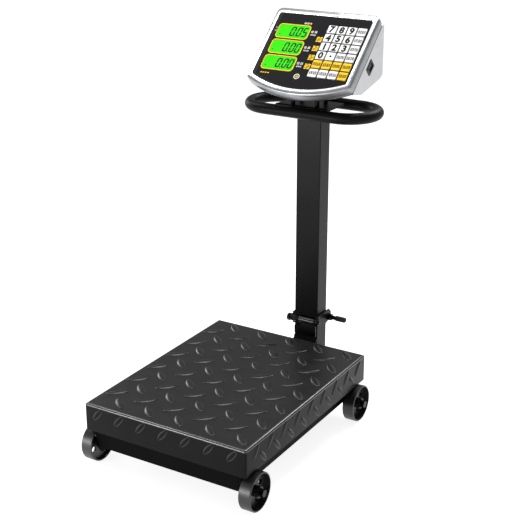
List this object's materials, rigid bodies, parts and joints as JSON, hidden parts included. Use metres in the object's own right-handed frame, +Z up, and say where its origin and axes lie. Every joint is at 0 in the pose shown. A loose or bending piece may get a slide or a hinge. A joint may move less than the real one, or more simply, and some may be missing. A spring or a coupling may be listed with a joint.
{
  "type": "pallet scale",
  "caption": "Portable electronic platform scale: square-tube base on wheels, tread-plate weighing deck, folding column with ring handle, clamp and tilted keypad display head.",
  "frame": {"origin": "on the floor, under the middle of the whole scale's bounding box, with the column upright", "axes": "+Z up, +Y from the deck towards the column, +X to the right of someone who stands before the display"},
  "size_m": [0.442, 0.712, 0.8924],
  "materials": {
    "black_powder_coat": "black powder coat, satin",
    "zinc_plated_steel": "bright zinc plate",
    "cell_aluminium": "milled and clear anodised",
    "wheel_plastic": "moulded black nylon, semi-gloss",
    "chromed_abs": "chrome-plated ABS",
    "fascia_film": "printed polycarbonate film, dark grey",
    "lcd_green": "backlit green display glass",
    "board_green": "green solder mask",
    "battery_case": "moulded ABS",
    "switch_black": "moulded, glossy",
    "grip_black": "moulded, matt",
    "key_white": "printed key film, satin",
    "key_yellow": "printed key film, satin"
  },
  "bodies": {
    "base": {"deck_cover": "black_powder_coat", "deck_frame": "black_powder_coat", "overload_stops": "zinc_plated_steel", "load_cell": "cell_aluminium", "load_cell_spacers": "zinc_plated_steel", "load_cell_screws": "zinc_plated_steel", "base_rails": "black_powder_coat", "centre_beam": "black_powder_coat", "axle_brackets": "black_powder_coat", "axle_bolts": "zinc_plated_steel", "tail_bracket": "black_powder_coat", "lower_post": "black_powder_coat", "post_gusset": "black_powder_coat", "lower_hinge_leaf": "black_powder_coat", "hinge_pin": "zinc_plated_steel", "clamp_tongue": "black_powder_coat"},
    "mast": {"mast_tube": "black_powder_coat", "mast_collar": "black_powder_coat", "handle_ring": "black_powder_coat", "handle_plate": "black_powder_coat", "head_posts": "black_powder_coat", "head_foot": "black_powder_coat", "front_shell": "chromed_abs", "rear_shell": "chromed_abs", "fascia_panel": "fascia_film", "lcd_modules": "lcd_green", "circuit_boards": "board_green", "battery": "battery_case", "switch_bezel": "switch_black"},
    "clamp": {"clamp_screw": "zinc_plated_steel", "clamp_grip": "grip_black"},
    "rocker": {"power_rocker": "switch_black"},
    "wheel_front_left": {"wheel_front_left": "wheel_plastic"},
    "wheel_front_right": {"wheel_front_right": "wheel_plastic"},
    "wheel_rear_left": {"wheel_rear_left": "wheel_plastic"},
    "wheel_rear_right": {"wheel_rear_right": "wheel_plastic"},
    "key_7": {"key_7": "key_white"},
    "key_8": {"key_8": "key_white"},
    "key_9": {"key_9": "key_white"},
    "key_zero": {"key_zero": "key_white"},
    "key_4": {"key_4": "key_white"},
    "key_5": {"key_5": "key_white"},
    "key_6": {"key_6": "key_white"},
    "key_tare": {"key_tare": "key_white"},
    "key_1": {"key_1": "key_white"},
    "key_2": {"key_2": "key_white"},
    "key_3": {"key_3": "key_white"},
    "key_clear": {"key_clear": "key_white"},
    "key_0": {"key_0": "key_white"},
    "key_point": {"key_point": "key_white"},
    "key_hold": {"key_hold": "key_white"},
    "key_backlight": {"key_backlight": "key_white"},
    "key_memory_1": {"key_memory_1": "key_yellow"},
    "key_memory_2": {"key_memory_2": "key_yellow"},
    "key_memory_3": {"key_memory_3": "key_yellow"},
    "key_memory_4": {"key_memory_4": "key_yellow"},
    "key_recall": {"key_recall": "key_white"},
    "key_change": {"key_change": "key_white"},
    "key_add": {"key_add": "key_white"},
    "key_total": {"key_total": "key_yellow"}
  },
  "joints": [
    {"name": "mast_fold", "type": "hinge", "parent": "base", "child": "mast", "pos_m": [0, 0.238, 0.166], "axis": [1, 0, 0], "range_deg": [0, 83]},
    {"name": "clamp_turn", "type": "hinge", "parent": "mast", "child": "clamp", "pos_m": [0, 0.304, 0.157], "axis": [1, 0, 0], "range_deg": [0, 360]},
    {"name": "rocker_tilt", "type": "hinge", "parent": "mast", "child": "rocker", "pos_m": [0.1284, 0.291, 0.783], "axis": [0, -0.682, 0.7314], "range_deg": [-18, 0]},
    {"name": "front_left_spin", "type": "hinge", "parent": "base", "child": "wheel_front_left", "pos_m": [-0.1975, -0.314, 0.042], "axis": [1, 0, 0], "continuous": true},
    {"name": "front_right_spin", "type": "hinge", "parent": "base", "child": "wheel_front_right", "pos_m": [0.1975, -0.314, 0.042], "axis": [1, 0, 0], "continuous": true},
    {"name": "rear_left_spin", "type": "hinge", "parent": "base", "child": "wheel_rear_left", "pos_m": [-0.1975, 0.134, 0.042], "axis": [1, 0, 0], "continuous": true},
    {"name": "rear_right_spin", "type": "hinge", "parent": "base", "child": "wheel_rear_right", "pos_m": [0.1975, 0.134, 0.042], "axis": [1, 0, 0], "continuous": true},
    {"name": "key_7_press", "type": "slide", "parent": "mast", "child": "key_7", "axis": [0, 0.682, -0.7314], "range_m": [0, 0.0008], "stiffness_N_per_m": 400, "springref_m": -0.0012},
    {"name": "key_8_press", "type": "slide", "parent": "mast", "child": "key_8", "axis": [0, 0.682, -0.7314], "range_m": [0, 0.0008], "stiffness_N_per_m": 400, "springref_m": -0.0012},
    {"name": "key_9_press", "type": "slide", "parent": "mast", "child": "key_9", "axis": [0, 0.682, -0.7314], "range_m": [0, 0.0008], "stiffness_N_per_m": 400, "springref_m": -0.0012},
    {"name": "key_zero_press", "type": "slide", "parent": "mast", "child": "key_zero", "axis": [0, 0.682, -0.7314], "range_m": [0, 0.0008], "stiffness_N_per_m": 400, "springref_m": -0.0012},
    {"name": "key_4_press", "type": "slide", "parent": "mast", "child": "key_4", "axis": [0, 0.682, -0.7314], "range_m": [0, 0.0008], "stiffness_N_per_m": 400, "springref_m": -0.0012},
    {"name": "key_5_press", "type": "slide", "parent": "mast", "child": "key_5", "axis": [0, 0.682, -0.7314], "range_m": [0, 0.0008], "stiffness_N_per_m": 400, "springref_m": -0.0012},
    {"name": "key_6_press", "type": "slide", "parent": "mast", "child": "key_6", "axis": [0, 0.682, -0.7314], "range_m": [0, 0.0008], "stiffness_N_per_m": 400, "springref_m": -0.0012},
    {"name": "key_tare_press", "type": "slide", "parent": "mast", "child": "key_tare", "axis": [0, 0.682, -0.7314], "range_m": [0, 0.0008], "stiffness_N_per_m": 400, "springref_m": -0.0012},
    {"name": "key_1_press", "type": "slide", "parent": "mast", "child": "key_1", "axis": [0, 0.682, -0.7314], "range_m": [0, 0.0008], "stiffness_N_per_m": 400, "springref_m": -0.0012},
    {"name": "key_2_press", "type": "slide", "parent": "mast", "child": "key_2", "axis": [0, 0.682, -0.7314], "range_m": [0, 0.0008], "stiffness_N_per_m": 400, "springref_m": -0.0012},
    {"name": "key_3_press", "type": "slide", "parent": "mast", "child": "key_3", "axis": [0, 0.682, -0.7314], "range_m": [0, 0.0008], "stiffness_N_per_m": 400, "springref_m": -0.0012},
    {"name": "key_clear_press", "type": "slide", "parent": "mast", "child": "key_clear", "axis": [0, 0.682, -0.7314], "range_m": [0, 0.0008], "stiffness_N_per_m": 400, "springref_m": -0.0012},
    {"name": "key_0_press", "type": "slide", "parent": "mast", "child": "key_0", "axis": [0, 0.682, -0.7314], "range_m": [0, 0.0008], "stiffness_N_per_m": 400, "springref_m": -0.0012},
    {"name": "key_point_press", "type": "slide", "parent": "mast", "child": "key_point", "axis": [0, 0.682, -0.7314], "range_m": [0, 0.0008], "stiffness_N_per_m": 400, "springref_m": -0.0012},
    {"name": "key_hold_press", "type": "slide", "parent": "mast", "child": "key_hold", "axis": [0, 0.682, -0.7314], "range_m": [0, 0.0008], "stiffness_N_per_m": 400, "springref_m": -0.0012},
    {"name": "key_backlight_press", "type": "slide", "parent": "mast", "child": "key_backlight", "axis": [0, 0.682, -0.7314], "range_m": [0, 0.0008], "stiffness_N_per_m": 400, "springref_m": -0.0012},
    {"name": "key_memory_1_press", "type": "slide", "parent": "mast", "child": "key_memory_1", "axis": [0, 0.682, -0.7314], "range_m": [0, 0.0008], "stiffness_N_per_m": 400, "springref_m": -0.0012},
    {"name": "key_memory_2_press", "type": "slide", "parent": "mast", "child": "key_memory_2", "axis": [0, 0.682, -0.7314], "range_m": [0, 0.0008], "stiffness_N_per_m": 400, "springref_m": -0.0012},
    {"name": "key_memory_3_press", "type": "slide", "parent": "mast", "child": "key_memory_3", "axis": [0, 0.682, -0.7314], "range_m": [0, 0.0008], "stiffness_N_per_m": 400, "springref_m": -0.0012},
    {"name": "key_memory_4_press", "type": "slide", "parent": "mast", "child": "key_memory_4", "axis": [0, 0.682, -0.7314], "range_m": [0, 0.0008], "stiffness_N_per_m": 400, "springref_m": -0.0012},
    {"name": "key_recall_press", "type": "slide", "parent": "mast", "child": "key_recall", "axis": [0, 0.682, -0.7314], "range_m": [0, 0.0008], "stiffness_N_per_m": 400, "springref_m": -0.0012},
    {"name": "key_change_press", "type": "slide", "parent": "mast", "child": "key_change", "axis": [0, 0.682, -0.7314], "range_m": [0, 0.0008], "stiffness_N_per_m": 400, "springref_m": -0.0012},
    {"name": "key_add_press", "type": "slide", "parent": "mast", "child": "key_add", "axis": [0, 0.682, -0.7314], "range_m": [0, 0.0008], "stiffness_N_per_m": 400, "springref_m": -0.0012},
    {"name": "key_total_press", "type": "slide", "parent": "mast", "child": "key_total", "axis": [0, 0.682, -0.7314], "range_m": [0, 0.0008], "stiffness_N_per_m": 400, "springref_m": -0.0012}
  ]
}
